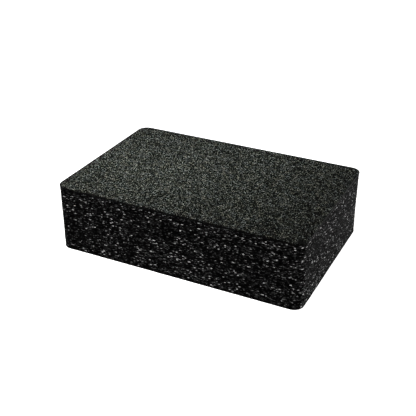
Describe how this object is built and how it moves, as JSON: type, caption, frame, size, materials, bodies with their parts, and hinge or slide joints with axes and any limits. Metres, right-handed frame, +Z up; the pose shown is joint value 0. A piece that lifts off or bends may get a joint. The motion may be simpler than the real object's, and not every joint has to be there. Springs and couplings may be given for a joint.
{
  "type": "balance pad",
  "caption": "Rectangular block of closed-cell foam to stand on for balance training, laminated from equal sheets, with rounded upright corners.",
  "frame": {"origin": "middle of the underside, on the floor", "axes": "+X along the pad's length, +Y across its width, +Z up through its thickness"},
  "size_m": [0.375, 0.246, 0.1],
  "materials": {
    "skin": "closed foam skin, fine pebbled grain, matte charcoal with a slight green-grey cast",
    "foam": "cut closed-cell polyethylene foam, near-black open cells with pale glinting cell films",
    "weld": "dense melted foam, dull black"
  },
  "bodies": {
    "base": {"bottom_skin": "skin", "foam_sheet_1": "foam"},
    "layer_2": {"weld_1": "weld", "foam_sheet_2": "foam"},
    "layer_3": {"weld_2": "weld", "foam_sheet_3": "foam"},
    "layer_4": {"weld_3": "weld", "foam_sheet_4": "foam"},
    "layer_5": {"weld_4": "weld", "foam_sheet_5": "foam"},
    "top": {"top_skin": "skin"}
  },
  "joints": [
    {"name": "squeeze_1", "type": "slide", "parent": "base", "child": "layer_2", "axis": [0, 0, -1], "range_m": [0, 0.005], "stiffness_N_per_m": 200000, "deforming": ["foam_sheet_1"]},
    {"name": "squeeze_2", "type": "slide", "parent": "layer_2", "child": "layer_3", "axis": [0, 0, -1], "range_m": [0, 0.005], "stiffness_N_per_m": 200000, "deforming": ["foam_sheet_2"]},
    {"name": "squeeze_3", "type": "slide", "parent": "layer_3", "child": "layer_4", "axis": [0, 0, -1], "range_m": [0, 0.005], "stiffness_N_per_m": 200000, "deforming": ["foam_sheet_3"]},
    {"name": "squeeze_4", "type": "slide", "parent": "layer_4", "child": "layer_5", "axis": [0, 0, -1], "range_m": [0, 0.005], "stiffness_N_per_m": 200000, "deforming": ["foam_sheet_4"]},
    {"name": "squeeze_5", "type": "slide", "parent": "layer_5", "child": "top", "axis": [0, 0, -1], "range_m": [0, 0.005], "stiffness_N_per_m": 200000, "deforming": ["foam_sheet_5"]}
  ],
  "couplings": [
    {"joint": "squeeze_2", "follows": "squeeze_1", "ratio": 1},
    {"joint": "squeeze_3", "follows": "squeeze_1", "ratio": 1},
    {"joint": "squeeze_4", "follows": "squeeze_1", "ratio": 1},
    {"joint": "squeeze_5", "follows": "squeeze_1", "ratio": 1}
  ]
}
